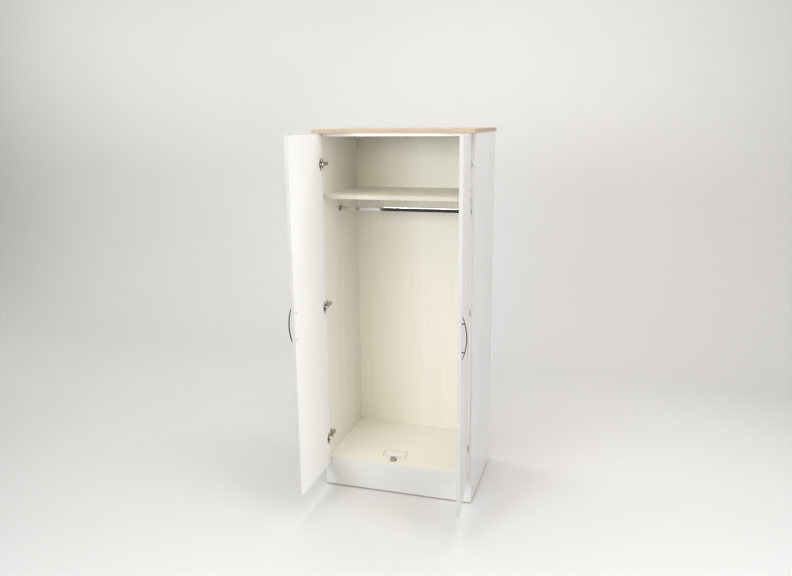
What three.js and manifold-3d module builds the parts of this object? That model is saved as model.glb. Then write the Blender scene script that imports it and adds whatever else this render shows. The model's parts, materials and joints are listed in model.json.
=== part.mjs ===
import * as THREE from "three";
import { mergeVertices } from "three/addons/utils/BufferGeometryUtils.js";
import Module from "manifold-3d";

// A free-standing wardrobe with two doors, built from panels, with its doors standing open.
// Millimetres, +Z up. Z = 0 is the floor, X = 0 is midway between the side panels, and Y = 0 is
// the plane of the side panels' front edges, with +Y running back into the wardrobe.

const wasm = await Module();
wasm.setup();

// ---- Driving dimensions ----
const TOTAL_HEIGHT = 1850;
const CARCASS_WIDTH = 780;
const CARCASS_DEPTH = 530;
const GLIDE_HEIGHT = 6;
const PANEL = 15; // side, top, floor and plinth boards
const SHELF_PANEL = 19;
const OAK_PANEL = 18;
const OAK_SIDE_OVERHANG = 4.5;
const OAK_FRONT_OVERHANG = 45;
const BACK_PANEL = 3;
const BACK_INSET = 3; // the back panel stands this far in from the sides' rear edges
const FLOOR_TOP = 160;
const SHELF_TOP = 1535;
const SHELF_SETBACK = 35;
const REAR_PLINTH_SETBACK = 20;
const FIT_GAP = 0.3; // clearance between pieces that meet across a cut or an end

const DOOR_THICKNESS = 16;
const DOOR_BOTTOM = 130;
const DOOR_TOP = 1830;
const DOOR_COVER = 7.5; // how much of the side panel's front edge a shut door covers
const DOOR_GAP = 2; // between a shut door and the carcass
const MEETING_GAP = 3; // between the two shut doors
const DOOR_OPEN_DEG = { left: 90, right: 96 }; // how far each door stands open at rest

const RAIL_HEIGHT = 30;
const RAIL_DEPTH = 15;
const RAIL_WALL = 1.2;
const RAIL_CENTRE_Z = 1444;
const RAIL_CENTRE_Y = 265;

const HINGE_HEIGHTS = { upper: 1686, middle: 979, lower: 275 };
const HANDLE_CENTRE_Z = 976;

// ---- Worked out from them ----
const OUTER_HALF = CARCASS_WIDTH / 2;
const INNER_HALF = OUTER_HALF - PANEL;
const OAK_UNDERSIDE = TOTAL_HEIGHT - OAK_PANEL;
const BACK_FRONT_Y = CARCASS_DEPTH - BACK_INSET - BACK_PANEL;
const FLOOR_UNDERSIDE = FLOOR_TOP - PANEL;
const DOOR_WIDTH = INNER_HALF + DOOR_COVER - MEETING_GAP / 2;

// ---- Colours and finishes ----
const finish = (color, roughness, metalness) =>
  new THREE.MeshStandardMaterial({ color, roughness, metalness });
const WHITE_BOARD = finish(0xe9e4da, 0.55, 0);
const WHITE_GLOSS = finish(0xf0eeea, 0.18, 0);
const OAK = finish(0xcfa873, 0.5, 0);
const CHROME = finish(0xd8dadd, 0.12, 1);
const NICKEL = finish(0xaaa69e, 0.32, 1);
const SATIN_STEEL = finish(0x6f6f70, 0.35, 1);
const WHITE_PLASTIC = finish(0xe4e2dc, 0.45, 0);
const GREY_PLASTIC = finish(0x8d8a84, 0.5, 0);
const PAPER = finish(0xf4efe9, 0.8, 0);

// ---- Geometry helpers ----

// A box from its lowest to its highest corner.
function boxBetween(low, high) {
  const size = high.map((value, i) => value - low[i]);
  const middle = high.map((value, i) => (value + low[i]) / 2);
  return new THREE.BoxGeometry(...size).translate(...middle);
}

// A round bar between two points on a line along X, Y or Z.
function barAlong(axis, radius, from, to, centre, sides = 24) {
  const bar = new THREE.CylinderGeometry(radius, radius, to - from, sides);
  if (axis === "x") bar.rotateZ(-Math.PI / 2);
  if (axis === "z") bar.rotateX(Math.PI / 2);
  const middle = (from + to) / 2;
  if (axis === "x") return bar.translate(middle, centre[0], centre[1]);
  if (axis === "y") return bar.translate(centre[0], middle, centre[1]);
  return bar.translate(centre[0], centre[1], middle);
}

// A flat outline in X and Y, given thickness from one Z to another.
function plateFromOutline(shape, lowZ, highZ, curveSegments = 12) {
  const options = { depth: highZ - lowZ, bevelEnabled: false, curveSegments };
  return new THREE.ExtrudeGeometry(shape, options).translate(0, 0, lowZ);
}

// An oval outline, as two half circles joined by straight sides, in X and Y.
function ovalOutline(width, height) {
  const r = Math.min(width, height) / 2;
  const run = Math.max(width, height) / 2 - r;
  const shape = new THREE.Shape();
  if (width >= height) {
    shape.absarc(run, 0, r, -Math.PI / 2, Math.PI / 2);
    shape.absarc(-run, 0, r, Math.PI / 2, (3 * Math.PI) / 2);
  } else {
    shape.absarc(0, run, r, 0, Math.PI);
    shape.absarc(0, -run, r, Math.PI, 2 * Math.PI);
  }
  return shape;
}

function toSolid(geometry) {
  const bare = new THREE.BufferGeometry();
  bare.setAttribute("position", geometry.getAttribute("position"));
  if (geometry.index) bare.setIndex(geometry.index);
  const merged = mergeVertices(bare, 1e-4);
  return new wasm.Manifold(
    new wasm.Mesh({
      numProp: 3,
      vertProperties: new Float32Array(merged.attributes.position.array),
      triVerts: new Uint32Array(merged.index.array),
    }),
  );
}

function toGeometry(solid) {
  const mesh = solid.getMesh();
  const geometry = new THREE.BufferGeometry();
  const positions = new THREE.BufferAttribute(mesh.vertProperties, 3);
  geometry.setAttribute("position", positions);
  geometry.setIndex(new THREE.BufferAttribute(mesh.triVerts, 1));
  return geometry;
}

// Joins the first list of shapes, cuts the second list out, then joins the third.
function carve(joined, cuts = [], addedAfter = []) {
  let solid = toSolid(joined[0]);
  for (const more of joined.slice(1)) solid = solid.add(toSolid(more));
  for (const cut of cuts) solid = solid.subtract(toSolid(cut));
  for (const more of addedAfter) solid = solid.add(toSolid(more));
  return toGeometry(solid);
}

const wardrobe = new THREE.Group();

function addMesh(parent, name, geometry, material) {
  const mesh = new THREE.Mesh(geometry, material);
  mesh.name = name;
  parent.add(mesh);
  return mesh;
}

// ---- Carcass panels ----

function addCarcass() {
  const board = (name, low, high, material = WHITE_BOARD) =>
    addMesh(wardrobe, name, boxBetween(low, high), material);
  for (const [side, sign] of [["left", -1], ["right", 1]]) {
    const edges = [sign * INNER_HALF, sign * OUTER_HALF].sort((a, b) => a - b);
    board(
      `side_panel_${side}`,
      [edges[0], 0, GLIDE_HEIGHT],
      [edges[1], CARCASS_DEPTH, OAK_UNDERSIDE],
      WHITE_GLOSS,
    );
  }
  const across = (name, y, z, material) =>
    board(name, [-INNER_HALF, y[0], z[0]], [INNER_HALF, y[1], z[1]], material);
  across("top_panel", [0, BACK_FRONT_Y], [OAK_UNDERSIDE - PANEL, OAK_UNDERSIDE]);
  across("hat_shelf", [SHELF_SETBACK, BACK_FRONT_Y], [SHELF_TOP - SHELF_PANEL, SHELF_TOP]);
  across("floor_panel", [0, BACK_FRONT_Y], [FLOOR_UNDERSIDE, FLOOR_TOP]);
  across("plinth_front", [0, PANEL], [GLIDE_HEIGHT, FLOOR_UNDERSIDE], WHITE_GLOSS);
  const rearPlinthBack = BACK_FRONT_Y - REAR_PLINTH_SETBACK;
  across("plinth_rear", [rearPlinthBack - PANEL, rearPlinthBack], [GLIDE_HEIGHT, FLOOR_UNDERSIDE]);
  across("back_panel", [BACK_FRONT_Y, BACK_FRONT_Y + BACK_PANEL], [FLOOR_UNDERSIDE, OAK_UNDERSIDE]);
  const oakHalf = OUTER_HALF + OAK_SIDE_OVERHANG;
  board(
    "oak_top",
    [-oakHalf, -OAK_FRONT_OVERHANG, OAK_UNDERSIDE],
    [oakHalf, CARCASS_DEPTH, TOTAL_HEIGHT],
    OAK,
  );
}

// Four nail-on glides lift the side panels off the floor.
function addGlides() {
  const inset = 45;
  const rim = PANEL / 2 - 0.5;
  const profile = [
    [0, 0],
    [rim - 1.5, 0],
    [rim, 1.5],
    [rim, GLIDE_HEIGHT],
    [0, GLIDE_HEIGHT],
  ].map(([r, z]) => new THREE.Vector2(r, z));
  for (const [side, sign] of [["left", -1], ["right", 1]])
    for (const [end, y] of [["front", inset], ["rear", CARCASS_DEPTH - inset]]) {
      const glide = new THREE.LatheGeometry(profile, 16).rotateX(Math.PI / 2);
      const mesh = addMesh(wardrobe, `glide_${end}_${side}`, glide, WHITE_PLASTIC);
      mesh.position.set(sign * (INNER_HALF + PANEL / 2), y, 0);
    }
}

// ---- Hanging rail: an oval tube held in a socket on each side panel ----

function addHangingRail() {
  const socketWall = 1.8;
  const socketFlange = 2;
  const socketDepth = 12;
  const flangeMargin = 5;
  const boreWidth = RAIL_HEIGHT + 2 * FIT_GAP;
  const boreHeight = RAIL_DEPTH + 2 * FIT_GAP;
  // Outlines are drawn with the oval's long side along X, then turned so that it stands upright.
  const upright = (geometry) => geometry.rotateZ(Math.PI / 2).rotateY(Math.PI / 2);
  const halfLength = INNER_HALF - socketFlange - FIT_GAP;
  const tube = ovalOutline(RAIL_HEIGHT, RAIL_DEPTH);
  tube.holes.push(ovalOutline(RAIL_HEIGHT - 2 * RAIL_WALL, RAIL_DEPTH - 2 * RAIL_WALL));
  const rail = upright(plateFromOutline(tube, -halfLength, halfLength, 10));
  addMesh(wardrobe, "hanging_rail", rail, CHROME).position.set(0, RAIL_CENTRE_Y, RAIL_CENTRE_Z);

  const outer = ovalOutline(boreWidth + 2 * socketWall, boreHeight + 2 * socketWall);
  const margin = 2 * flangeMargin;
  const flange = ovalOutline(boreWidth + margin + 14, boreHeight + margin);
  const bore = ovalOutline(boreWidth, boreHeight);
  for (const [side, sign] of [["left", 1], ["right", -1]]) {
    const socket = upright(
      carve(
        [plateFromOutline(flange, 0, socketFlange), plateFromOutline(outer, 0, socketDepth)],
        [plateFromOutline(bore, socketFlange, socketDepth + 1)],
      ),
    );
    if (sign < 0) socket.rotateZ(Math.PI);
    const mesh = addMesh(wardrobe, `rail_socket_${side}`, socket, CHROME);
    mesh.position.set(-sign * INNER_HALF, RAIL_CENTRE_Y, RAIL_CENTRE_Z);
  }
}

// ---- What is on the floor panel ----

// A round fitting near the front, held down by a screw sunk in its top.
function addFloorFitting() {
  const centre = [-31, 47];
  const radius = 18.5;
  const height = 15;
  const screwHead = 5;
  const screwShank = 2.2;
  const counterbore = 6;
  const headTop = FLOOR_TOP + height - counterbore;
  const upright = (r, from, to, sides) => barAlong("z", r, from, to, centre, sides);
  const drum = carve(
    [
      upright(radius, FLOOR_TOP, FLOOR_TOP + 3, 28),
      upright(radius - 2, FLOOR_TOP, FLOOR_TOP + height, 28),
    ],
    [
      upright(screwHead + 1.5, headTop - 2.5 - FIT_GAP, FLOOR_TOP + height + 1, 20),
      upright(screwShank + FIT_GAP, FLOOR_TOP - 1, FLOOR_TOP + height, 16),
    ],
  );
  addMesh(wardrobe, "floor_fitting", drum, GREY_PLASTIC);
  const screw = carve([
    upright(screwHead, headTop - 2.5, headTop, 20),
    upright(screwShank, FLOOR_TOP + FIT_GAP, headTop - 1, 16),
  ]);
  addMesh(wardrobe, "floor_fitting_screw", screw, NICKEL);
}

// A blank paper label lies on the floor panel behind the catch, a little askew.
function addFloorLabel() {
  const label = new THREE.BoxGeometry(128, 74, 0.4);
  const mesh = addMesh(wardrobe, "floor_label", label, PAPER);
  mesh.position.set(-42, 120, FLOOR_TOP + 0.2 + FIT_GAP);
  mesh.rotation.z = THREE.MathUtils.degToRad(3.5);
}

// ---- Doors and their concealed hinges ----
//
// Each half of the wardrobe is drawn as its left half. Its frame starts at the side panel's inner
// face, with x running inwards and y running back from the front edge, and the right half is the
// mirror image. A shut door has its own frame: u runs along the door from its hinged edge and v
// runs through it from its inner face outwards, so x = u - DOOR_COVER and y = -DOOR_GAP - v.
//
// A curved link joins the hinge's arm, at ARM_PIVOT, to the cup in the door, at CUP_PIVOT. While
// the door opens by an angle, the link turns the other way by LINK_TURN times that angle, which
// carries the door out and inwards, clear of the side panel's edge.
const ARM_PIVOT = { x: 22, y: 2 };
const CUP_PIVOT = { u: 10.4, v: 5 };
const LINK_TURN = 0.39;
const LINK = { sagitta: 7, thickness: 1.6, halfWidth: 4.5, eye: 2.7 };
const PIN_RADIUS = 1.3;
const CUP = { u: 21.5, radius: 17.5, wall: 1, depth: 11.5, flange: 1 };
const ARM = { halfWidth: 7.5, sheet: 1.6, top: 16.5, foot: 5, front: 28, back: 74, nose: 2.8 };
const PLATE = { base: 2.5, wingHalf: 25, ribHalf: 5.4, front: 30, back: 68 };
const HANDLE = {
  edge: 19, // from the door's free edge to the handle's middle line
  post: 64, // half the distance between the two posts
  tip: 94,
  apex: 21.5, // the bar's middle line off the door at the middle of the bow
  end: 2.8, // and at its tips
  thickness: 4.6,
  width: 8,
  bevel: 1.2,
  postRadius: 3.5,
};
const SCREW = { radius: 2, head: 4, headHeight: 2.4, reach: 8 };

// The cup pivot's place once the door has opened, in the half's frame.
function linkReach(openDeg) {
  const x = CUP_PIVOT.u - DOOR_COVER - ARM_PIVOT.x;
  const y = -DOOR_GAP - CUP_PIVOT.v - ARM_PIVOT.y;
  const turn = THREE.MathUtils.degToRad(LINK_TURN * openDeg);
  return new THREE.Vector2(x, y).rotateAround(new THREE.Vector2(0, 0), turn);
}

// Pieces on the door are drawn about the cup pivot, with u along +X and v along -Y.
const atU = (u) => u - CUP_PIVOT.u;
const atV = (v) => CUP_PIVOT.v - v;
const boreThrough = (radius, u, z, fromV, toV, sides = 24) =>
  barAlong("y", radius, atV(toV), atV(fromV), [atU(u), z], sides);

// A cup with its flange and the pin that the link hangs on, its centre at height z.
function hingeCup(z) {
  const flangeHalf = 31;
  const flangeReach = 9;
  const outline = new THREE.Shape();
  outline.absarc(0, flangeHalf - flangeReach, flangeReach, 0, Math.PI);
  outline.absarc(0, flangeReach - flangeHalf, flangeReach, Math.PI, 2 * Math.PI);
  const flange = plateFromOutline(outline, 0, CUP.flange, 8)
    .rotateX(Math.PI / 2)
    .translate(atU(CUP.u), atV(-FIT_GAP - CUP.flange), z);
  const outside = CUP.radius - FIT_GAP;
  const rim = boreThrough(CUP.radius + 1.5, CUP.u, z, -FIT_GAP - CUP.flange, -FIT_GAP, 28);
  const shell = boreThrough(outside, CUP.u, z, -FIT_GAP - CUP.flange, CUP.depth - FIT_GAP, 28);
  const hollow = boreThrough(outside - CUP.wall, CUP.u, z, -5, CUP.depth - CUP.wall, 28);
  const pinFarSide = CUP.u - CUP_PIVOT.u + PIN_RADIUS;
  const halfPin = Math.sqrt((outside - FIT_GAP) ** 2 - pinFarSide ** 2);
  const pin = barAlong("z", PIN_RADIUS, z - halfPin, z + halfPin, [0, 0], 16);
  return carve([flange, rim, shell], [hollow], [pin]);
}

// A bent strip with an eye at each end, drawn with the arm pivot at the origin and the cup pivot
// along +X.
function hingeLink(z) {
  const chord = linkReach(0).length();
  const bend = (chord ** 2 / 4 + LINK.sagitta ** 2) / (2 * LINK.sagitta);
  const centreY = LINK.sagitta - bend;
  const spread = Math.asin(chord / 2 / bend);
  const [from, to] = [Math.PI / 2 - spread, Math.PI / 2 + spread];
  const strip = new THREE.Shape();
  strip.absarc(chord / 2, centreY, bend + LINK.thickness / 2, from, to, false);
  strip.absarc(chord / 2, centreY, bend - LINK.thickness / 2, to, from, true);
  const [low, high] = [z - LINK.halfWidth, z + LINK.halfWidth];
  const eyes = [0, chord].map((x) => barAlong("z", LINK.eye, low, high, [x, 0], 20));
  const holes = [0, chord].map((x) =>
    barAlong("z", PIN_RADIUS + FIT_GAP, low - 1, high + 1, [x, 0], 16),
  );
  return carve([plateFromOutline(strip, low, high, 14), ...eyes], holes);
}

// The arm is a cranked channel: two cheeks under a web, open at its nose, where a pin crosses it.
function hingeArm(z) {
  const { halfWidth, sheet, top, foot, front, back, nose } = ARM;
  const profile = new THREE.Shape();
  profile.moveTo(ARM_PIVOT.x + nose, ARM_PIVOT.y);
  profile.lineTo(24, 12);
  profile.quadraticCurveTo(22.5, 20, top, 28);
  profile.lineTo(top, back - 4);
  profile.quadraticCurveTo(top, back, top - 4, back);
  profile.lineTo(foot, back);
  profile.lineTo(foot, front);
  profile.lineTo(12, 20);
  profile.lineTo(ARM_PIVOT.x - nose, ARM_PIVOT.y + 3);
  profile.lineTo(ARM_PIVOT.x - nose, ARM_PIVOT.y);
  profile.absarc(ARM_PIVOT.x, ARM_PIVOT.y, nose, Math.PI, 2 * Math.PI);
  const inside = new THREE.Shape();
  const noseOpenTo = 8;
  inside.moveTo(-1, -5);
  inside.lineTo(40, -5);
  inside.lineTo(40, noseOpenTo);
  inside.lineTo(24.4 - sheet, noseOpenTo);
  inside.quadraticCurveTo(21.5, 18.5, top - sheet, 27);
  inside.lineTo(top - sheet, back - sheet);
  inside.lineTo(-1, back - sheet);
  const cheekInside = halfWidth - sheet;
  const pinHalf = halfWidth - sheet / 2;
  return carve(
    [plateFromOutline(profile, z - halfWidth, z + halfWidth, 6)],
    [plateFromOutline(inside, z - cheekInside, z + cheekInside, 6)],
    [barAlong("z", PIN_RADIUS, z - pinHalf, z + pinHalf, [ARM_PIVOT.x, ARM_PIVOT.y], 16)],
  );
}

// The mounting plate: a base on the side panel, two wings for its screws, and a rib in the arm.
function hingePlate(z) {
  const { base, wingHalf, ribHalf, front, back } = PLATE;
  const wingY = 37;
  const wingReach = 7;
  const outline = new THREE.Shape();
  outline.absarc(wingY, wingHalf - wingReach, wingReach, 0, Math.PI);
  outline.absarc(wingY, wingReach - wingHalf, wingReach, Math.PI, 2 * Math.PI);
  const wings = plateFromOutline(outline, 0, base, 8).applyMatrix4(
    new THREE.Matrix4().makeBasis(
      new THREE.Vector3(0, 1, 0),
      new THREE.Vector3(0, 0, 1),
      new THREE.Vector3(1, 0, 0),
    ),
  );
  const rib = boxBetween(
    [0, front, z - ribHalf],
    [ARM.top - ARM.sheet - FIT_GAP, back, z + ribHalf],
  );
  return carve([wings.translate(0, 0, z), rib]);
}

// A bow handle: a shallow arc on two posts, its tips running on past them towards the door.
function bowHandle() {
  const { post, tip, apex, end, thickness, width, bevel, postRadius, edge } = HANDLE;
  const rise = apex - end;
  const bend = (tip ** 2 + rise ** 2) / (2 * rise);
  const centre = apex - bend;
  const spread = Math.asin(tip / bend);
  const half = thickness / 2;
  const bar = new THREE.Shape();
  bar.absarc(centre, 0, bend + half, -spread, spread, false);
  bar.absarc(end, tip, half, spread, spread + Math.PI, false);
  bar.absarc(centre, 0, bend - half, spread, -spread, true);
  bar.absarc(end, -tip, half, Math.PI - spread, 2 * Math.PI - spread, false);
  const bow = new THREE.ExtrudeGeometry(bar, {
    depth: width - 2 * bevel,
    bevelEnabled: true,
    bevelThickness: bevel,
    bevelSize: bevel,
    bevelOffset: -bevel,
    bevelSegments: 1,
    curveSegments: 12,
  }).translate(0, 0, bevel - width / 2);
  const offDoor = new THREE.Matrix4().makeBasis(
    new THREE.Vector3(0, -1, 0),
    new THREE.Vector3(0, 0, 1),
    new THREE.Vector3(-1, 0, 0),
  );
  const u = DOOR_WIDTH - edge;
  bow.applyMatrix4(offDoor).translate(atU(u), atV(DOOR_THICKNESS), HANDLE_CENTRE_Z);
  const postTop = centre + Math.sqrt(bend ** 2 - post ** 2);
  const posts = [-post, post].map((z) =>
    boreThrough(
      postRadius,
      u,
      HANDLE_CENTRE_Z + z,
      DOOR_THICKNESS + FIT_GAP,
      DOOR_THICKNESS + postTop,
    ),
  );
  const holes = [-post, post].map((z) =>
    boreThrough(
      SCREW.radius + FIT_GAP,
      u,
      HANDLE_CENTRE_Z + z,
      DOOR_THICKNESS - 1,
      DOOR_THICKNESS + SCREW.reach + 1,
      16,
    ),
  );
  return carve([bow, ...posts], holes);
}

function handleScrew(z) {
  const u = DOOR_WIDTH - HANDLE.edge;
  return carve([
    boreThrough(SCREW.head, u, z, -FIT_GAP - SCREW.headHeight, -FIT_GAP, 20),
    boreThrough(SCREW.radius, u, z, -FIT_GAP - 1, DOOR_THICKNESS + SCREW.reach, 16),
  ]);
}

function doorPanel() {
  const panel = boxBetween(
    [atU(0), atV(DOOR_THICKNESS), DOOR_BOTTOM],
    [atU(DOOR_WIDTH), atV(0), DOOR_TOP],
  );
  const pockets = Object.values(HINGE_HEIGHTS).map((z) =>
    boreThrough(CUP.radius, CUP.u, z, -1, CUP.depth, 28),
  );
  const screwHoles = [-HANDLE.post, HANDLE.post].map((z) =>
    boreThrough(
      SCREW.radius + FIT_GAP,
      DOOR_WIDTH - HANDLE.edge,
      HANDLE_CENTRE_Z + z,
      -1,
      DOOR_THICKNESS + 1,
      16,
    ),
  );
  return carve([panel], [...pockets, ...screwHoles]);
}

function addHalf(side) {
  const openDeg = DOOR_OPEN_DEG[side];
  const half = new THREE.Group();
  const mirror = side === "left" ? 1 : -1;
  half.position.x = -mirror * INNER_HALF;
  half.scale.x = mirror;
  wardrobe.add(half);

  const reach = linkReach(openDeg);
  const door = new THREE.Group();
  door.position.set(ARM_PIVOT.x + reach.x, ARM_PIVOT.y + reach.y, 0);
  door.rotation.z = -THREE.MathUtils.degToRad(openDeg);
  half.add(door);

  addMesh(door, `door_${side}`, doorPanel(), WHITE_GLOSS);
  addMesh(door, `handle_${side}`, bowHandle(), SATIN_STEEL);
  for (const [place, sign] of [["upper", 1], ["lower", -1]]) {
    const screw = handleScrew(HANDLE_CENTRE_Z + sign * HANDLE.post);
    addMesh(door, `handle_screw_${side}_${place}`, screw, NICKEL);
  }
  for (const [place, z] of Object.entries(HINGE_HEIGHTS)) {
    addMesh(door, `hinge_cup_${side}_${place}`, hingeCup(z), NICKEL);
    addMesh(half, `hinge_arm_${side}_${place}`, hingeArm(z), NICKEL);
    addMesh(half, `hinge_plate_${side}_${place}`, hingePlate(z), NICKEL);
    const link = addMesh(half, `hinge_link_${side}_${place}`, hingeLink(z), NICKEL);
    link.position.set(ARM_PIVOT.x, ARM_PIVOT.y, 0);
    link.rotation.z = Math.atan2(reach.y, reach.x);
  }
}

addCarcass();
addGlides();
addHangingRail();
addFloorFitting();
addFloorLabel();
addHalf("left");
addHalf("right");

export default wardrobe;
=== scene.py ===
"""A free-standing wardrobe with two open doors, an oak-effect top, a hat shelf and a hanging rail.

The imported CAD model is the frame. Boards, handles, rail, glides and screws are built here, and the
doors and hinge parts are refined from their CAD nodes with rounded edges. Lengths are in metres.
"""

import json
import math

import bmesh
import bpy
from mathutils import Matrix, Vector


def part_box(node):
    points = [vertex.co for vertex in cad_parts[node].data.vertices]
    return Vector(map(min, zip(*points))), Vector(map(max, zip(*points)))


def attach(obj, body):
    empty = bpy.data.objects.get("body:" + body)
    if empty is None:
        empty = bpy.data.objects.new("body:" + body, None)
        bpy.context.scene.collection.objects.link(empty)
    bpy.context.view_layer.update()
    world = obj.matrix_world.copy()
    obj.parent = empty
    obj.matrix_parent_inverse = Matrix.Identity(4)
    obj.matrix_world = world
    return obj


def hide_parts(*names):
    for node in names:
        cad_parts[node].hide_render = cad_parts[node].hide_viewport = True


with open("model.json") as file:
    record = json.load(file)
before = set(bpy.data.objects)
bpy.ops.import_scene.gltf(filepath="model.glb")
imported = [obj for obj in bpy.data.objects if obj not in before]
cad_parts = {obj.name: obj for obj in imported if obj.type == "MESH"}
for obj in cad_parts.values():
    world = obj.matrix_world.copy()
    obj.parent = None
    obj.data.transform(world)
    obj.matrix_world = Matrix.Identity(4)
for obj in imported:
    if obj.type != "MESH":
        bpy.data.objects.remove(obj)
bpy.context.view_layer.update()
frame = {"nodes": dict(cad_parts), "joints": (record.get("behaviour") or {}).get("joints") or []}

MM = 0.001
SIDES = ("left", "right")
SIGN = {"left": -1, "right": 1}
HINGE_PLACES = ("upper", "middle", "lower")
DOOR_OPEN = {"left": math.radians(90), "right": math.radians(96)}
BAND = 1.0 * MM  # thickness of the edge banding glued round the boards

DOOR_THICKNESS = 16 * MM
DOOR_WIDTH = 381 * MM
CUP_PIVOT_U = 10.4 * MM  # the hinge's pin, from the door's hinged edge
CUP_PIVOT_V = 5.0 * MM  # and from the door's inner face, sunk into the door

HANDLE_FROM_EDGE = 19 * MM  # the bow's middle line, from the door's free edge
HANDLE_POST = 64 * MM  # each post, from the handle's middle
HANDLE_TIP = 94 * MM  # each end of the bow's middle line, from the handle's middle
HANDLE_APEX = 21.5 * MM  # how far the bow's middle line stands off the door at its middle
HANDLE_END = 2.8 * MM  # and at its tips
HANDLE_HALF_WIDTH = 4.0 * MM
HANDLE_HALF_DEPTH = 2.3 * MM

CUP_FROM_EDGE = 21.5 * MM  # the cup's middle, from the door's hinged edge
FLANGE_SCREW = 22.5 * MM  # the flange's screws, above and below the cup's middle
PLATE_SCREW = 18 * MM  # the mounting plate's screws, above and below its middle
PLATE_DEPTH = 37 * MM  # the plate's middle, from the carcass's front edge
ARM_TOP = 16.5 * MM  # the arm's top, from the side panel
ARM_SCREWS = ((38 * MM, 3.0 * MM), (58 * MM, 3.4 * MM))  # depth and head radius

PIN_SPACING = 140 * MM
RAIL_WALL = 1.2 * MM
LABEL_HALF = (64 * MM, 37 * MM)
LABEL_TURN = math.radians(3.5)
LABEL_BORDER = 2.5 * MM  # the paper's margin, and the printed border inside it

# ---------------------------------------------------------------- materials


class Surface:
    """A node material built round one Principled shader."""

    def __init__(self, name, **sockets):
        self.material = bpy.data.materials.new(name)
        self.material.use_nodes = True
        self.tree = self.material.node_tree
        self.shader = self.tree.nodes["Principled BSDF"]
        for socket, value in sockets.items():
            self.shader.inputs[socket.replace("_", " ")].default_value = value

    def node(self, kind, inputs=None, **settings):
        made = self.tree.nodes.new(kind)
        for key, value in settings.items():
            setattr(made, key, value)
        for key, value in (inputs or {}).items():
            if isinstance(value, bpy.types.NodeSocket):
                self.tree.links.new(value, made.inputs[key])
            else:
                made.inputs[key].default_value = value
        return made

    def place(self, scale=(1, 1, 1)):
        """The piece's own coordinates, in metres, stretched by scale."""
        where = self.node("ShaderNodeTexCoord").outputs["Object"]
        return self.node("ShaderNodeMapping", {"Vector": where, "Scale": scale}).outputs["Vector"]

    def noise(self, stretch, scale=1.0, detail=4.0, roughness=0.5, distortion=0.0):
        inputs = {
            "Vector": self.place(stretch),
            "Scale": scale,
            "Detail": detail,
            "Roughness": roughness,
            "Distortion": distortion,
        }
        return self.node("ShaderNodeTexNoise", inputs).outputs["Fac"]

    def ramp(self, factor, *stops):
        """Colours or greys along the factor, as (position, colour) pairs."""
        made = self.node("ShaderNodeValToRGB", {"Fac": factor})
        points = made.color_ramp.elements
        while len(points) < len(stops):
            points.new(0.5)
        for point, (position, colour) in zip(points, stops):
            point.position = position
            grey = isinstance(colour, (int, float))
            point.color = (colour, colour, colour, 1) if grey else (*colour, 1)
        return made.outputs["Color"]

    def mix(self, factor, a, b, blend="MIX"):
        made = self.node("ShaderNodeMix", data_type="RGBA", blend_type=blend)
        made.inputs["Factor"].default_value = 1.0
        for key, value in (("Factor", factor), ("A", a), ("B", b)):
            socket = next(s for s in made.inputs if s.name == key and s.enabled)
            if isinstance(value, bpy.types.NodeSocket):
                self.tree.links.new(value, socket)
            else:
                socket.default_value = value
        return next(s for s in made.outputs if s.enabled)

    def colour(self, socket):
        self.tree.links.new(socket, self.shader.inputs["Base Color"])
        return self

    def rough(self, factor, low, high):
        spread = self.node(
            "ShaderNodeMapRange", {"Value": factor, "To Min": low, "To Max": high}
        )
        self.tree.links.new(spread.outputs["Result"], self.shader.inputs["Roughness"])
        return self

    def bump(self, height, strength, distance):
        made = self.node(
            "ShaderNodeBump", {"Height": height, "Strength": strength, "Distance": distance}
        )
        self.tree.links.new(made.outputs["Normal"], self.shader.inputs["Normal"])
        return self


def gloss_white():
    """Polished white foil: a faint orange peel, and a slow drift in how sharply it reflects."""
    s = Surface("gloss_white_foil", Coat_Weight=0.35, Coat_Roughness=0.06, IOR=1.5)
    drift = s.noise((1, 1, 1), 3.0, 3.0)
    s.colour(s.ramp(drift, (0.3, (0.686, 0.679, 0.670)), (0.7, (0.710, 0.703, 0.695))))
    s.rough(drift, 0.16, 0.26)
    return s.bump(s.noise((1, 1, 1), 900.0, 2.0), 0.04, 0.0002).material


def satin_white():
    """White melamine with a pearl texture and an almost hidden upright grain."""
    s = Surface("satin_white_melamine", IOR=1.48)
    grain = s.noise((26, 26, 0.9), 1.0, 5.0, 0.6)
    s.colour(s.ramp(grain, (0.25, (0.848, 0.843, 0.832)), (0.75, (0.872, 0.868, 0.860))))
    s.rough(grain, 0.36, 0.48)
    return s.bump(s.noise((1, 1, 1), 1400.0, 3.0), 0.12, 0.0002).material


def edge_tape(name, tint):
    """Satin edge tape with a fine pearl, less glossy than the foil beside it; the tint it is given is
    darker than the faces it edges, as painted shade.
    """
    s = Surface(name, IOR=1.45)
    drift = s.noise((1, 1, 1), 8.0, 3.0)
    s.colour(s.ramp(drift, (0.3, tuple(0.95 * c for c in tint)), (0.7, tint)))
    s.rough(drift, 0.38, 0.50)
    return s.bump(s.noise((1, 1, 1), 1600.0, 2.0), 0.1, 0.0001).material


def cream_print(name, stretch):
    """A cream wood print: broad soft streaks with finer dark lines along the grain."""
    s = Surface(name, IOR=1.46)
    broad = s.noise(stretch, 0.35, 3.0, 0.5, 0.4)
    fine = s.noise(stretch, 3.2, 6.0, 0.65, 0.2)
    base = s.ramp(broad, (0.35, (0.838, 0.811, 0.732)), (0.65, (0.866, 0.847, 0.788)))
    lines = s.ramp(fine, (0.34, 0.955), (0.46, 1.0))
    s.colour(s.mix(1.0, base, lines, "MULTIPLY"))
    s.rough(fine, 0.42, 0.58)
    return s.bump(fine, 0.05, 0.0003).material


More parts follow.
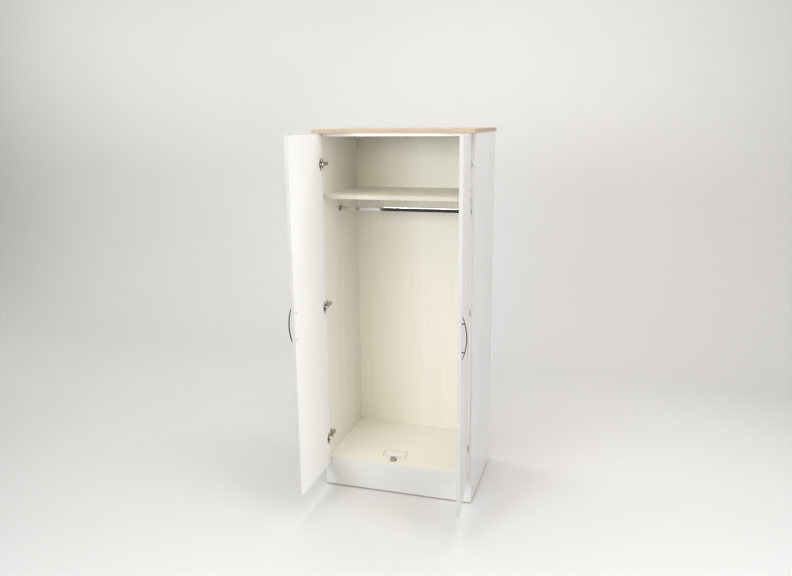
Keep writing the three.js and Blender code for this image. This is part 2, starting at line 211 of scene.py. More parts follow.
def oak_print(name, stretch):
    """Light oak along X: wandering year rings, darker streaks and short fine pores."""
    s = Surface(name, Coat_Weight=0.08, Coat_Roughness=0.3, IOR=1.47)
    rings = s.noise(stretch, 1.0, 5.0, 0.55, 0.9)
    streaks = s.noise(stretch, 6.0, 6.0, 0.7, 0.3)
    pores = s.noise(tuple(c * 3 for c in stretch), 14.0, 2.0, 0.6)
    base = s.ramp(
        rings,
        (0.28, (0.325, 0.240, 0.155)),
        (0.42, (0.425, 0.328, 0.222)),
        (0.55, (0.472, 0.374, 0.262)),
        (0.72, (0.384, 0.292, 0.192)),
    )
    shade = s.ramp(streaks, (0.3, 0.80), (0.6, 1.0))
    dots = s.ramp(pores, (0.30, 0.74), (0.38, 1.0))
    s.colour(s.mix(1.0, s.mix(1.0, base, shade, "MULTIPLY"), dots, "MULTIPLY"))
    s.rough(streaks, 0.38, 0.55)
    return s.bump(pores, 0.15, 0.0003).material


def raw_chipboard_and_painted_shade():
    """Unbanded edge of a board: pressed chips in tan, straw and brown. On the bottom roundings of the
    plinth and side panels it also lays painted shade along the gap under the wardrobe.
    """
    s = Surface("raw_chipboard_and_painted_shade", Roughness=0.85, IOR=1.4)
    cells = s.node(
        "ShaderNodeTexVoronoi", {"Vector": s.place((1, 1, 0.55)), "Scale": 420.0}
    ).outputs["Color"]
    chip = s.node("ShaderNodeRGBToBW", {"Color": cells}).outputs["Val"]
    s.colour(
        s.ramp(
            chip,
            (0.1, (0.30, 0.19, 0.10)),
            (0.4, (0.52, 0.37, 0.22)),
            (0.65, (0.63, 0.48, 0.31)),
            (0.9, (0.46, 0.32, 0.18)),
        )
    )
    return s.bump(chip, 0.5, 0.0004).material


def hardboard():
    """The bare rear face of the back panel: brown pressed fibre with a woven press mark."""
    s = Surface("bare_hardboard", Roughness=0.78, IOR=1.4)
    fibre = s.noise((1, 1, 1), 160.0, 6.0, 0.7)
    cloud = s.noise((1, 1, 1), 5.0, 3.0)
    base = s.ramp(cloud, (0.3, (0.245, 0.150, 0.082)), (0.7, (0.315, 0.200, 0.115)))
    flecks = s.ramp(fibre, (0.35, 0.78), (0.6, 1.0))
    s.colour(s.mix(1.0, base, flecks, "MULTIPLY"))
    return s.bump(fibre, 0.4, 0.0004).material


def metal(name, tint, low, high, stretch=(1, 1, 1), scale=220.0, bump=0.03, metallic=1.0):
    """Plated or painted metal with uneven polish, brushed where stretch isn't even."""
    s = Surface(name, Metallic=metallic)
    wear = s.noise((1, 1, 1), 45.0, 4.0, 0.6)
    dim = tuple(0.86 * c for c in tint)
    s.colour(s.ramp(wear, (0.3, dim), (0.65, tint)))
    brush = s.noise(stretch, scale, 3.0, 0.6)
    s.rough(brush, low, high)
    return s.bump(brush, bump, 0.0001).material


def plastic(name, tint, rough, scale=700.0, bump=0.15):
    """Moulded plastic with a spark-eroded grain and a slight drift of tone."""
    s = Surface(name, IOR=1.5)
    cloud = s.noise((1, 1, 1), 60.0, 3.0)
    s.colour(s.ramp(cloud, (0.3, tuple(0.92 * c for c in tint)), (0.7, tint)))
    grain = s.noise((1, 1, 1), scale, 2.0)
    s.rough(grain, rough - 0.06, rough + 0.06)
    return s.bump(grain, bump, 0.0001).material


def paper(name, tint):
    """Label paper with fine fibres."""
    s = Surface(name, IOR=1.4)
    fibre = s.noise((1, 1, 1), 900.0, 5.0, 0.7)
    s.colour(s.ramp(fibre, (0.3, tuple(0.95 * c for c in tint)), (0.7, tint)))
    s.rough(fibre, 0.6, 0.75)
    return s.bump(fibre, 0.2, 0.0001).material


GLOSS = gloss_white()
SATIN = satin_white()
# the door edge tape is tinted darker than the white foil: painted shade on the door's edges
DOOR_TAPE_PAINTED_SHADE = edge_tape("door_edge_tape_painted_shade", (0.565, 0.560, 0.552))
# the shelf's front edge tape is tinted well below the cream boards: painted shade on that edge
SHELF_TAPE_PAINTED_SHADE = edge_tape("shelf_edge_tape_painted_shade", (0.590, 0.560, 0.495))
UPRIGHT_PRINT = cream_print("cream_print_upright", (26, 26, 0.7))
LEVEL_PRINT = cream_print("cream_print_level", (0.7, 26, 26))
OAK = oak_print("oak_print", (1.6, 38, 38))
CHIPBOARD_AND_PAINTED_SHADE = raw_chipboard_and_painted_shade()
HARDBOARD = hardboard()
CHROME = metal("polished_chrome", (0.74, 0.72, 0.69), 0.05, 0.10, bump=0.01)
NICKEL = metal("plated_nickel", (0.43, 0.385, 0.31), 0.27, 0.38, scale=90.0)
# the link's plating is made much brighter and glossier than the rest of the hinge: a painted highlight for
# the light the link catches
LINK_NICKEL_PAINTED_HIGHLIGHT = metal("link_nickel_painted_highlight", (0.86, 0.84, 0.80), 0.16, 0.28)
BLACK_NICKEL = metal("satin_dark_handle", (0.060, 0.056, 0.052), 0.26, 0.40, (30, 30, 1), 12.0, 0.05, 0.85)
ZINC = metal("zinc_screw", (0.50, 0.48, 0.44), 0.25, 0.42)
NYLON = plastic("white_nylon", (0.74, 0.73, 0.70), 0.45)
GREY_PLASTIC = plastic("grey_moulding", (0.36, 0.335, 0.29), 0.42)
PAPER = paper("label_paper", (0.86, 0.84, 0.82))
RED_PRINT = paper("label_red_print", (0.50, 0.16, 0.14))

# ---------------------------------------------------------------- mesh helpers


def mesh_object(name, bm, materials, body, stands_for=(), smooth_deg=35):
    """Turns a bmesh into a finished piece that rides on its body."""
    mesh = bpy.data.meshes.new(name)
    bmesh.ops.recalc_face_normals(bm, faces=bm.faces)
    bm.to_mesh(mesh)
    bm.free()
    mesh.shade_smooth()
    mesh.set_sharp_from_angle(angle=math.radians(smooth_deg))
    piece = bpy.data.objects.new(name, mesh)
    bpy.context.scene.collection.objects.link(piece)
    # broad flat faces keep their own direction, and only the rounding beside them turns
    weighted = piece.modifiers.new("weighted_normals", "WEIGHTED_NORMAL")
    weighted.mode = "FACE_AREA"
    weighted.weight = 100
    weighted.keep_sharp = True
    for material in materials:
        mesh.materials.append(material)
    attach(piece, body)
    if stands_for:
        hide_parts(*stands_for)
    return piece


def cut_plane(bm, point, normal):
    """Cuts new edges where the plane crosses the mesh, and removes nothing."""
    geometry = bm.verts[:] + bm.edges[:] + bm.faces[:]
    bmesh.ops.bisect_plane(bm, geom=geometry, plane_co=point, plane_no=normal, dist=1e-7)


def round_edges(bm, radius, segments=2, over_deg=30):
    """Rounds every edge where two faces meet at more than the given angle."""
    limit = math.radians(over_deg)
    sharp = [
        e for e in bm.edges if len(e.link_faces) == 2 and e.calc_face_angle(0) > limit
    ]
    bmesh.ops.bevel(
        bm,
        geom=sharp,
        offset=radius,
        segments=segments,
        profile=0.5,
        affect="EDGES",
        clamp_overlap=True,
    )


def box_mesh(low, high):
    """A bmesh box between two corners."""
    bm = bmesh.new()
    bmesh.ops.create_cube(bm, size=1.0)
    size = Vector(high) - Vector(low)
    centre = (Vector(high) + Vector(low)) / 2
    bmesh.ops.transform(
        bm, matrix=Matrix.Translation(centre) @ Matrix.Diagonal((*size, 1)), verts=bm.verts
    )
    return bm


def lathe_into(bm, profile, matrix, steps=32):
    """Adds a turned solid. The profile runs from the axis round to the axis as (radius, height)."""
    rings = []
    for radius, height in profile:
        if radius < 1e-9:
            rings.append([bm.verts.new(matrix @ Vector((0, 0, height)))])
            continue
        turn = [2 * math.pi * i / steps for i in range(steps)]
        rings.append(
            [
                bm.verts.new(matrix @ Vector((radius * math.cos(a), radius * math.sin(a), height)))
                for a in turn
            ]
        )
    for below, above in zip(rings, rings[1:]):
        for i in range(steps):
            j = (i + 1) % steps
            corners = []
            for vert in (
                below[i % len(below)],
                below[j % len(below)],
                above[j % len(above)],
                above[i % len(above)],
            ):
                if vert not in corners:
                    corners.append(vert)
            if len(corners) > 2:
                bm.faces.new(corners)


def facing(direction, point):
    """A matrix that puts local +Z along the direction, at the point."""
    turn = Vector(direction).to_track_quat("Z", "Y").to_matrix().to_4x4()
    return Matrix.Translation(point) @ turn


def cross_recess_head(bm, radius, height, matrix):
    """A domed screw head with a cross recess cut into its top."""
    arm = 0.55 * radius
    half = 0.13 * radius
    depth = 0.45 * height
    steps = 32
    rim = [
        Vector((radius * math.cos(a), radius * math.sin(a), 0))
        for a in (2 * math.pi * i / steps for i in range(steps))
    ]
    dome = [(1.0, 0.0), (1.0, 0.35), (0.93, 0.66), (0.78, 0.88), (0.62, 1.0)]
    rings = [
        [bm.verts.new(matrix @ Vector((p.x * r, p.y * r, height * h))) for p in rim]
        for r, h in dome
    ]
    for below, above in zip(rings, rings[1:]):
        for i in range(steps):
            j = (i + 1) % steps
            bm.faces.new((below[i], below[j], above[j], above[i]))
    bm.faces.new(rings[0][::-1])
    outline = []
    for quarter in range(4):
        turn = Matrix.Rotation(quarter * math.pi / 2, 3, "Z")
        for x, y in ((arm, -half), (arm, half), (half, half)):
            outline.append(turn @ Vector((x, y, 0)))
    top = [bm.verts.new(matrix @ Vector((p.x, p.y, height))) for p in outline]
    foot = [
        bm.verts.new(matrix @ Vector((p.x * 0.6, p.y * 0.6, height - depth))) for p in outline
    ]
    for i in range(len(top)):
        j = (i + 1) % len(top)
        bm.faces.new((top[j], top[i], foot[i], foot[j]))
    bm.faces.new(foot)
    crown = rings[-1]
    edges = [bm.edges.get((crown[i], crown[(i + 1) % steps])) for i in range(steps)]
    edges += [bm.edges.get((top[i], top[(i + 1) % len(top)])) for i in range(len(top))]
    bmesh.ops.triangle_fill(bm, use_beauty=True, use_dissolve=False, edges=edges)


def refined(node, radius, segments=2, cuts=()):
    """A bmesh of the CAD node's shape with flat faces merged and its edges rounded."""
    bm = bmesh.new()
    bm.from_mesh(frame["nodes"][node].data)
    bmesh.ops.remove_doubles(bm, verts=bm.verts, dist=2e-6)
    bmesh.ops.dissolve_limit(
        bm, angle_limit=math.radians(1), verts=bm.verts, edges=bm.edges
    )
    for point, normal in cuts:
        cut_plane(bm, point, normal)
    round_edges(bm, radius, segments)
    return bm


# ---------------------------------------------------------------- boards

OUTWARD = {
    "-x": (-1, 0, 0),
    "+x": (1, 0, 0),
    "-y": (0, -1, 0),
    "+y": (0, 1, 0),
    "-z": (0, 0, -1),
    "+z": (0, 0, 1),
}


def board(node, main, faces=None, bands=None, radius=0.5 * MM):
    """A board in a CAD node's box.

    faces gives single faces, and the rounding beside them, their own material. bands gives edges
    a strip of banding, which wraps nothing but the edge and shows its own thickness on the broad
    faces.
    """
    low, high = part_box(node)
    bm = box_mesh(low, high)
    bands = bands or {}
    for way in bands:
        out = Vector(OUTWARD[way])
        corner = high if max(out) > 0 else low
        cut_plane(bm, corner - out * BAND, out)
    round_edges(bm, radius, 3, 60)
    materials = [main]

    def index_of(material):
        if material not in materials:
            materials.append(material)
        return materials.index(material)

    bm.normal_update()
    for face in bm.faces:
        middle = face.calc_center_median()
        for way, material in (faces or {}).items():
            if face.normal.dot(Vector(OUTWARD[way])) > 0.3:
                face.material_index = index_of(material)
        for way, material in bands.items():
            out = Vector(OUTWARD[way])
            corner = high if max(out) > 0 else low
            if (corner - middle).dot(out) < BAND * 0.99:
                face.material_index = index_of(material)
    return mesh_object(node + "_board", bm, materials, "carcass", [node])


def make_boards():
    for side in SIDES:
        inner = "+x" if side == "left" else "-x"
        # the side panels' bottom rounding takes the dark chipboard colour: the real unbanded bottom, and
        # painted shade along the gap under the panel
        board(
            f"side_panel_{side}",
            GLOSS,
            {inner: UPRIGHT_PRINT, "+y": CHIPBOARD_AND_PAINTED_SHADE, "-z": CHIPBOARD_AND_PAINTED_SHADE},
            {"-y": GLOSS},
        )
    board("top_panel", LEVEL_PRINT, {"+y": CHIPBOARD_AND_PAINTED_SHADE}, {"-y": GLOSS})
    # the darker front edge tape paints shade onto the shelf's front edge
    board("hat_shelf", LEVEL_PRINT, {"+y": CHIPBOARD_AND_PAINTED_SHADE}, {"-y": SHELF_TAPE_PAINTED_SHADE})
    board("floor_panel", LEVEL_PRINT, {"+y": CHIPBOARD_AND_PAINTED_SHADE}, {"-y": GLOSS})
    # the plinth's rounding is widened to 1.2 mm so that its dark chipboard bottom rounding shows: the real
    # unbanded bottom, and painted shade for the dark gap under the plinth
    board("plinth_front", GLOSS, {"+y": CHIPBOARD_AND_PAINTED_SHADE, "-z": CHIPBOARD_AND_PAINTED_SHADE}, radius=1.2 * MM)
    board("plinth_rear", LEVEL_PRINT, {"-z": CHIPBOARD_AND_PAINTED_SHADE})
    board("back_panel", UPRIGHT_PRINT, {"+y": HARDBOARD}, radius=0.3 * MM)
    wrapped = dict.fromkeys(("-x", "+x", "-y", "+y"), OAK)
    board("oak_top", OAK, {}, wrapped, radius=1.2 * MM)


def make_back_pins():
    """Round-headed pins that hold the back panel to the boards in front of it."""
    low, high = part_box("back_panel")
    reach = 7 * MM
    held_boards = (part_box("top_panel"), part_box("hat_shelf"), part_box("floor_panel"))
    bm = bmesh.new()
    columns = int((high.x - low.x) / PIN_SPACING)
    for box_low, box_high in held_boards:
        z = (box_low.z + box_high.z) / 2
        for i in range(columns + 1):
            x = low.x + reach * 2 + (high.x - low.x - reach * 4) * i / columns
            head = [(0, 0.9 * MM), (1.6 * MM, 0.7 * MM), (2.1 * MM, 0), (0, 0)]
            lathe_into(bm, head, facing((0, 1, 0), (x, high.y, z)), 16)
    return mesh_object("back_panel_pins", bm, [ZINC], "carcass")


# ---------------------------------------------------------------- doors and handles


def door_matrix(side):
    """From a shut door's own frame, u along, v outwards, z up, to where the door stands open."""
    joint = next(j for j in frame["joints"] if j["name"] == f"{side}_door_pivot")
    pivot = Vector((joint["pos_m"][0], joint["pos_m"][1], 0))
    angle = DOOR_OPEN[side]
    sign = SIGN[side]
    along = Vector((-sign * math.cos(angle), -math.sin(angle), 0))
    outwards = Vector((sign * math.sin(angle), -math.cos(angle), 0))
    axes = Matrix((along, outwards, Vector((0, 0, 1)))).transposed().to_4x4()
    start = Matrix.Translation((-CUP_PIVOT_U, -CUP_PIVOT_V, 0))
    return Matrix.Translation(pivot) @ axes @ start


def make_door(side):
    """The CAD door with rounded edges, gloss outside, satin inside and tape round its edges."""
    node = f"door_{side}"
    matrix = door_matrix(side)
    low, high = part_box(node)
    along = (matrix.to_3x3() @ Vector((1, 0, 0))).normalized()
    outwards = (matrix.to_3x3() @ Vector((0, 1, 0))).normalized()
    up = Vector((0, 0, 1))
    hinged = matrix @ Vector((0, 0, 0))
    free = matrix @ Vector((DOOR_WIDTH, 0, 0))
    limits = (
        (hinged, -along),
        (free, along),
        (Vector((0, 0, low.z)), -up),
        (Vector((0, 0, high.z)), up),
    )
    cuts = [(point - out * BAND, out) for point, out in limits]
    bm = refined(node, 0.9 * MM, 3, cuts)
    bm.normal_update()
    materials = [GLOSS, SATIN, CHIPBOARD_AND_PAINTED_SHADE, DOOR_TAPE_PAINTED_SHADE]
    for face in bm.faces:
        middle = face.calc_center_median()
        on_band = any((point - middle).dot(out) < BAND * 0.99 for point, out in limits)
        depth = (middle - hinged).dot(outwards)
        if on_band:
            # edge faces take the darker tape: painted shade on the door's edges
            on_edge = abs(face.normal.dot(outwards)) < 0.95
            face.material_index = materials.index(DOOR_TAPE_PAINTED_SHADE if on_edge else GLOSS)
        elif depth < 0.1 * MM:
            face.material_index = materials.index(SATIN)
        elif depth < DOOR_THICKNESS * 0.95:
            face.material_index = materials.index(CHIPBOARD_AND_PAINTED_SHADE)
    return mesh_object(f"door_{side}_slab", bm, materials, f"{side}_door", [node])


def bow_bend():
    """The radius of the handle's bow."""
    rise = HANDLE_APEX - HANDLE_END
    return (HANDLE_TIP**2 + rise**2) / (2 * rise)


def bow_height(z):
    """How far the bow's middle line stands off the door, at z from the handle's middle."""
    return HANDLE_APEX - bow_bend() + math.sqrt(bow_bend() ** 2 - z**2)


def make_handle(side):
    """A bow swept from a rounded section that thins towards its tips, on two turned posts."""
    low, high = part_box(f"handle_{side}")
    matrix = door_matrix(side) @ Matrix.Translation(
        (DOOR_WIDTH - HANDLE_FROM_EDGE, DOOR_THICKNESS, (low.z + high.z) / 2)
    )
    stations, around = 72, 24
    reach = HANDLE_TIP + HANDLE_HALF_DEPTH
    nose = 5 * MM
    bm = bmesh.new()
    rings = []
    for i in range(stations + 1):
        z = reach * math.sin((i / stations - 0.5) * math.pi)
        slope = math.atan(-z / math.sqrt(bow_bend() ** 2 - z**2))
        into_nose = max(0.0, 1 - (reach - abs(z)) / nose)
        thin = (1 - 0.34 * abs(z / reach) ** 2) * max(math.sqrt(1 - into_nose**2), 0.03)
        ring = []
        for k in range(around):
            a = 2 * math.pi * k / around
            across = HANDLE_HALF_WIDTH * thin * math.copysign(abs(math.cos(a)) ** 0.7, math.cos(a))
            out = HANDLE_HALF_DEPTH * thin * math.copysign(abs(math.sin(a)) ** 0.7, math.sin(a))
            point = (across, bow_height(z) + out * math.cos(slope), z - out * math.sin(slope))
            ring.append(bm.verts.new(matrix @ Vector(point)))
        rings.append(ring)
    for below, above in zip(rings, rings[1:]):
        for k in range(around):
            m = (k + 1) % around
            bm.faces.new((below[k], below[m], above[m], above[k]))
    bm.faces.new(rings[0][::-1])
    bm.faces.new(rings[-1])
    for z in (-HANDLE_POST, HANDLE_POST):
        top = bow_height(z)
        post = [
            (0, 0.3 * MM),
            (3.5 * MM, 0.3 * MM),
            (3.5 * MM, 1.0 * MM),
            (2.9 * MM, 2.0 * MM),
            (2.6 * MM, top - 4.0 * MM),
            (3.1 * MM, top - 1.2 * MM),
            (0, top),
        ]
        turn = Matrix.Translation((0, 0, z)) @ Matrix.Rotation(-math.pi / 2, 4, "X")
        lathe_into(bm, post, matrix @ turn, 28)
    node = f"handle_{side}"
    return mesh_object(
        node + "_bow", bm, [BLACK_NICKEL], f"{side}_door", [node], 50
    )


def make_handle_screws(side):
    """Pan-head screws on the door's inner face, with the start of their shanks."""
    inwards = -(door_matrix(side).to_3x3() @ Vector((0, 1, 0))).normalized()
    for place in ("upper", "lower"):
        node = f"handle_screw_{side}_{place}"
        low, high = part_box(node)
        centre = (low + high) / 2
        face = door_matrix(side) @ Vector((DOOR_WIDTH - HANDLE_FROM_EDGE, 0, centre.z))
        bm = bmesh.new()
        cross_recess_head(bm, 4.0 * MM, 2.4 * MM, facing(inwards, face + inwards * 0.3 * MM))
        shank = [(0, -DOOR_THICKNESS), (2.0 * MM, -DOOR_THICKNESS), (2.0 * MM, 0.0), (0, 0.0)]
        lathe_into(bm, shank, facing(inwards, face), 20)
        mesh_object(node + "_detail", bm, [ZINC], f"{side}_door", [node])


# ---------------------------------------------------------------- hinges


def make_hinge(side, place):
    """Refines the hinge's four CAD parts, and adds the screws that hold and adjust it."""
    parts = {
        "cup": (f"{side}_door", 0.30 * MM),
        "link": (f"{side}_hinge_links", 0.25 * MM),
        "arm": ("carcass", 0.45 * MM),
        "plate": ("carcass", 0.45 * MM),
    }
    for part, (body, radius) in parts.items():
        node = f"hinge_{part}_{side}_{place}"
        bm = refined(node, radius, 2)
        # the link takes the brighter plating, a painted highlight
        metal_used = LINK_NICKEL_PAINTED_HIGHLIGHT if part == "link" else NICKEL
        mesh_object(node + "_metal", bm, [metal_used], body, [node])

    # the flange's two wood screws
    cup_low, cup_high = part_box(f"hinge_cup_{side}_{place}")
    z = (cup_low.z + cup_high.z) / 2
    matrix = door_matrix(side)
    inwards = -(matrix.to_3x3() @ Vector((0, 1, 0))).normalized()
    bm = bmesh.new()
    for offset in (-FLANGE_SCREW, FLANGE_SCREW):
        seat = matrix @ Vector((CUP_FROM_EDGE, 0, z + offset))
        cross_recess_head(bm, 3.4 * MM, 1.3 * MM, facing(inwards, seat + inwards * 1.3 * MM))
    name = f"flange_screws_{side}_{place}"
    mesh_object(name, bm, [ZINC], f"{side}_door")

    # the mounting plate's two screws, and the two that adjust the arm
    plate_low, plate_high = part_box(f"hinge_plate_{side}_{place}")
    inwards = Vector((-SIGN[side], 0, 0))
    wall = plate_low.x if side == "left" else plate_high.x
    bm = bmesh.new()
    for offset in (-PLATE_SCREW, PLATE_SCREW):
        seat = Vector((wall, PLATE_DEPTH, z + offset)) + inwards * 2.5 * MM
        cross_recess_head(bm, 3.6 * MM, 1.6 * MM, facing(inwards, seat))
    for y, radius in ARM_SCREWS:
        seat = Vector((wall, y, z)) + inwards * ARM_TOP
        cross_recess_head(bm, radius, 1.5 * MM, facing(inwards, seat))
    name = f"plate_screws_{side}_{place}"
    return mesh_object(name, bm, [ZINC], "carcass")


# ---------------------------------------------------------------- hanging rail


def oval_ring(radius, run):
    """Points round an upright oval: two half circles, joined by flats that reflect as flats."""
    steps = 28
    points = []
    for way in (1, -1):
        for i in range(steps + 1):
            a = math.pi * i / steps
            points.append((way * radius * math.cos(a), way * (run + radius * math.sin(a))))
        for share in (0.9, -0.9):
            points.append((-way * radius, way * run * share))
    return points


def make_rail():
    """The oval tube, open at both ends."""
    low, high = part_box("hanging_rail")
    middle = (low + high) / 2
    radius, half_height = (high.y - low.y) / 2, (high.z - low.z) / 2
    bm = bmesh.new()
    rings = []
    for inset in (0.0, RAIL_WALL):
        shape = oval_ring(radius - inset, half_height - radius)
        for x in (low.x, high.x):
            rings.append([bm.verts.new((x, middle.y + y, middle.z + z)) for y, z in shape])
    outer_left, outer_right, inner_left, inner_right = rings
    loops = (
        (outer_left, outer_right),
        (outer_right, inner_right),
        (inner_right, inner_left),
        (inner_left, outer_left),
    )
    for first, second in loops:
        for i in range(len(first)):
            j = (i + 1) % len(first)
            bm.faces.new((first[i], first[j], second[j], second[i]))
    mesh_object("hanging_rail_tube", bm, [CHROME], "carcass", ["hanging_rail"])


def make_rail_sockets():
    """The two flanged sockets, each with a screw at both ends of its flange."""
    for side in SIDES:
        node = f"rail_socket_{side}"
        low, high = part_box(node)
        middle = (low + high) / 2
        bm = refined(node, 0.5 * MM, 3)
        mesh_object(node + "_casting", bm, [NICKEL], "carcass", [node])
        inwards = Vector((-SIGN[side], 0, 0))
        wall = low.x if side == "left" else high.x
        bm = bmesh.new()
        long_way = (high.y - low.y) > (high.z - low.z)
        reach = (max(high.y - low.y, high.z - low.z)) / 2 - 5.0 * MM
        for way in (-1, 1):
            seat = Vector((wall, middle.y, middle.z)) + inwards * 2.0 * MM
            if long_way:
                seat.y += way * reach
            else:
                seat.z += way * reach
            cross_recess_head(bm, 2.8 * MM, 1.2 * MM, facing(inwards, seat))
        mesh_object(f"socket_screws_{side}", bm, [ZINC], "carcass")


# ---------------------------------------------------------------- small pieces


def make_glides():
    """Four round nylon feet with a rounded lower rim."""
    for end in ("front", "rear"):
        for side in SIDES:
            node = f"glide_{end}_{side}"
            low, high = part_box(node)
            rim = (high.x - low.x) / 2
            height = high.z - low.z
            profile = [
                (0, 0),
                (rim - 2.4 * MM, 0),
                (rim - 1.2 * MM, 0.3 * MM),
                (rim - 0.3 * MM, 1.2 * MM),
                (rim, 2.4 * MM),
                (rim, height - 0.4 * MM),
                (rim - 0.4 * MM, height),
                (0, height),
            ]
            foot = Vector(((low.x + high.x) / 2, (low.y + high.y) / 2, low.z))
            bm = bmesh.new()
            lathe_into(bm, profile, Matrix.Translation(foot), 36)
            mesh_object(node + "_moulding", bm, [NYLON], "carcass", [node])


def make_floor_fitting():
    """The round fitting near the front: a stepped cap with a deep hole, and its screw."""
    low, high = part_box("floor_fitting")
    foot = Vector(((low.x + high.x) / 2, (low.y + high.y) / 2, low.z))
    rim, height = (high.x - low.x) / 2, high.z - low.z
    hole, hole_foot = 6.5 * MM, height - 8.8 * MM
    profile = [
        (0, 0),
        (rim, 0),
        (rim, 1.8 * MM),
        (rim - 0.7 * MM, 2.8 * MM),
        (rim - 2.0 * MM, 3.2 * MM),
        (rim - 2.2 * MM, height - 2.0 * MM),
        (rim - 2.8 * MM, height - 0.7 * MM),
        (rim - 4.2 * MM, height),
        (hole + 1.0 * MM, height),
        (hole, height - 1.0 * MM),
        (hole, hole_foot),
        (0, hole_foot),
    ]
    bm = bmesh.new()
    lathe_into(bm, profile, Matrix.Translation(foot), 64)
    mesh_object(
        "floor_fitting_cap", bm, [GREY_PLASTIC], "carcass", ["floor_fitting"]
    )
    bm = bmesh.new()
    seat = foot + Vector((0, 0, hole_foot + 0.1 * MM))
    cross_recess_head(bm, 5.0 * MM, 2.5 * MM, Matrix.Translation(seat))
    mesh_object(
        "floor_fitting_screw_detail",
        bm,
        [ZINC],
        "carcass",
        ["floor_fitting_screw"],
    )


def make_label():
    """A blank sticker with a thin printed border."""
    verts = [v.co.copy() for v in frame["nodes"]["floor_label"].data.vertices]
    top = max(v.z for v in verts)
    bottom = min(v.z for v in verts)
    middle = sum(verts, Vector()) / len(verts)
    matrix = Matrix.Translation((middle.x, middle.y, 0)) @ Matrix.Rotation(LABEL_TURN, 4, "Z")
    half_x, half_y = LABEL_HALF
    steps = (0, LABEL_BORDER, 2 * LABEL_BORDER)
    columns = [-half_x + s for s in steps] + [half_x - s for s in reversed(steps)]
    rows = [-half_y + s for s in steps] + [half_y - s for s in reversed(steps)]
    bm = bmesh.new()
    grid = [[bm.verts.new(matrix @ Vector((x, y, top))) for x in columns] for y in rows]
    last = len(columns) - 2
    for j in range(len(rows) - 1):
        for i in range(len(columns) - 1):
            face = bm.faces.new((grid[j][i], grid[j][i + 1], grid[j + 1][i + 1], grid[j + 1][i]))
            ring = (i in (1, last - 1) and 1 <= j <= last - 1) or (
                j in (1, last - 1) and 1 <= i <= last - 1
            )
            face.material_index = 1 if ring else 0
    sheet = bmesh.ops.extrude_face_region(bm, geom=bm.faces[:])
    under = [v for v in sheet["geom"] if isinstance(v, bmesh.types.BMVert)]
    bmesh.ops.translate(bm, verts=under, vec=(0, 0, bottom - top))
    for face in bm.faces:
        if abs(face.calc_center_median().z - top) > 1e-6:
            face.material_index = 0
    mesh_object(
        "floor_label_sheet", bm, [PAPER, RED_PRINT], "carcass", ["floor_label"]
    )


# ---------------------------------------------------------------- studio


def make_studio():
    """A pale floor that curves up into a pale wall behind the wardrobe."""
    half, front, wall_y, bend, top = 40.0, -40.0, 3.5, 1.4, 16.0
    profile = [(front, 0.0), (wall_y - bend, 0.0)]
    for i in range(1, 25):
        a = math.pi / 2 * i / 24
        profile.append((wall_y - bend + bend * math.sin(a), bend - bend * math.cos(a)))
    profile.append((wall_y, top))
    bm = bmesh.new()
    edges = [[bm.verts.new((x, y, z)) for y, z in profile] for x in (-half, half)]
    for i in range(len(profile) - 1):
        bm.faces.new((edges[0][i], edges[1][i], edges[1][i + 1], edges[0][i + 1]))
    mesh = bpy.data.meshes.new("studio_sweep")
    bm.to_mesh(mesh)
    bm.free()
    mesh.shade_smooth()
    sweep = bpy.data.objects.new("studio_sweep", mesh)
    bpy.context.scene.collection.objects.link(sweep)
    s = Surface("studio_paper", Roughness=0.9)
    cloud = s.noise((1, 1, 1), 0.6, 2.0)
    s.colour(s.ramp(cloud, (0.3, (0.65, 0.643, 0.637)), (0.7, (0.67, 0.663, 0.657))))
    mesh.materials.append(s.material)


def area_light(name, place, target, size, power, tint=(1, 1, 1)):
    """A soft rectangular lamp that points at its target. The power is in watts."""
    data = bpy.data.lights.new(name, "AREA")
    data.shape = "RECTANGLE"
    data.size, data.size_y = size
    data.energy = power
    data.color = tint
    lamp = bpy.data.objects.new(name, data)
    lamp.location = place
    aim = Vector(target) - Vector(place)
    lamp.rotation_euler = aim.to_track_quat("-Z", "Y").to_euler()
    bpy.context.scene.collection.objects.link(lamp)


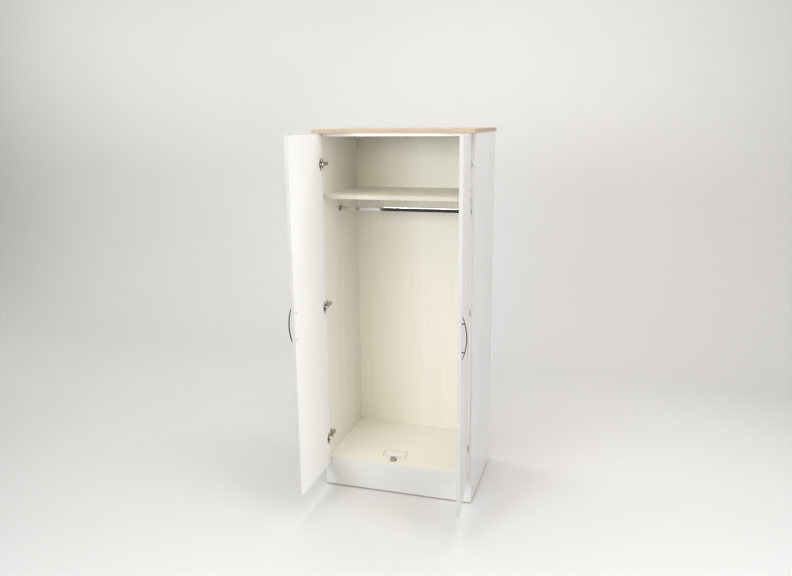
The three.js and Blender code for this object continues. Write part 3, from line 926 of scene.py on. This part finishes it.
def make_lights():
    """Large soft lamps: overhead, on each side of the camera, and four that wash the wall."""
    middle = (0, 0, 1.0)
    inner_left = (-0.2, 0, 0.9)
    area_light("left_low", (-1.3, -3.6, 2.05), middle, (1.4, 1.2), 53, (0.75, 0.86, 1.0))
    area_light("left_near", (-0.8, -3.9, 2.2), middle, (1.4, 1.2), 24, (0.97, 1.0, 0.92))
    area_light("right_low", (3.4, -1.9, 1.5), (-0.2, 0, 0.8), (2.2, 2.2), 43, (0.90, 0.90, 1.0))
    area_light("right_mid", (3.1, -1.7, 2.4), inner_left, (2.2, 2.2), 34)
    area_light("right_high", (2.8, -1.5, 3.2), inner_left, (2.4, 2.0), 17, (1.0, 1.0, 0.92))
    area_light("front_mid", (0.3, -4.4, 2.5), middle, (2.2, 1.6), 38, (1.0, 0.85, 0.63))
    area_light("front_over", (0, -2.4, 3.8), middle, (3.4, 1.8), 37, (1.0, 0.90, 0.73))
    area_light("overhead", (0, -0.2, 4.2), (0, 0, 0), (3.6, 3.0), 96, (0.97, 0.98, 1.0))
    area_light("wall_far_left", (-4.8, 1.2, 3.2), (-4.6, 3.5, 1.0), (2.4, 2.0), 46, (1.0, 0.99, 0.97))
    area_light("wall_left", (-2.8, 1.2, 3.4), (-2.2, 3.5, 1.0), (2.0, 2.0), 18, (1.0, 0.99, 0.97))
    area_light("wall_wash", (0, 1.4, 4.8), (0, 3.5, 1.6), (6.0, 1.0), 4, (1.0, 0.98, 0.94))
    area_light("wall_mid", (0.4, 0.9, 3.5), (0.4, 3.4, 0.5), (5.0, 0.8), 40, (1.0, 0.99, 0.97))
    world = bpy.data.worlds.new("studio_air")
    world.use_nodes = True
    background = world.node_tree.nodes["Background"]
    background.inputs["Color"].default_value = (1.0, 0.92, 0.82, 1)
    background.inputs["Strength"].default_value = 0.05
    bpy.context.scene.world = world


def make_camera():
    """Eye-level view from the front right, looking slightly down."""
    yaw, pitch, roll = map(math.radians, (16.98, 12.80, -0.51))
    forward = Vector(
        (-math.sin(yaw) * math.cos(pitch), math.cos(yaw) * math.cos(pitch), -math.sin(pitch))
    )
    level = Vector((math.cos(yaw), math.sin(yaw), 0))
    upright = level.cross(forward)
    right = level * math.cos(roll) + upright * math.sin(roll)
    up = upright * math.cos(roll) - level * math.sin(roll)
    data = bpy.data.cameras.new("camera")
    data.sensor_width = 36
    data.lens = 33.504
    camera = bpy.data.objects.new("camera", data)
    axes = Matrix((right, up, -forward)).transposed().to_4x4()
    camera.matrix_world = Matrix.Translation((1.0275, -3.3439, 1.8883)) @ axes
    bpy.context.scene.collection.objects.link(camera)
    bpy.context.scene.camera = camera
    bpy.context.scene.view_settings.view_transform = "Standard"


make_camera()
make_studio()
make_lights()
make_boards()
make_back_pins()
for side in SIDES:
    make_door(side)
    make_handle(side)
    make_handle_screws(side)
    for place in HINGE_PLACES:
        make_hinge(side, place)
make_rail()
make_rail_sockets()
make_glides()
make_floor_fitting()
make_label()
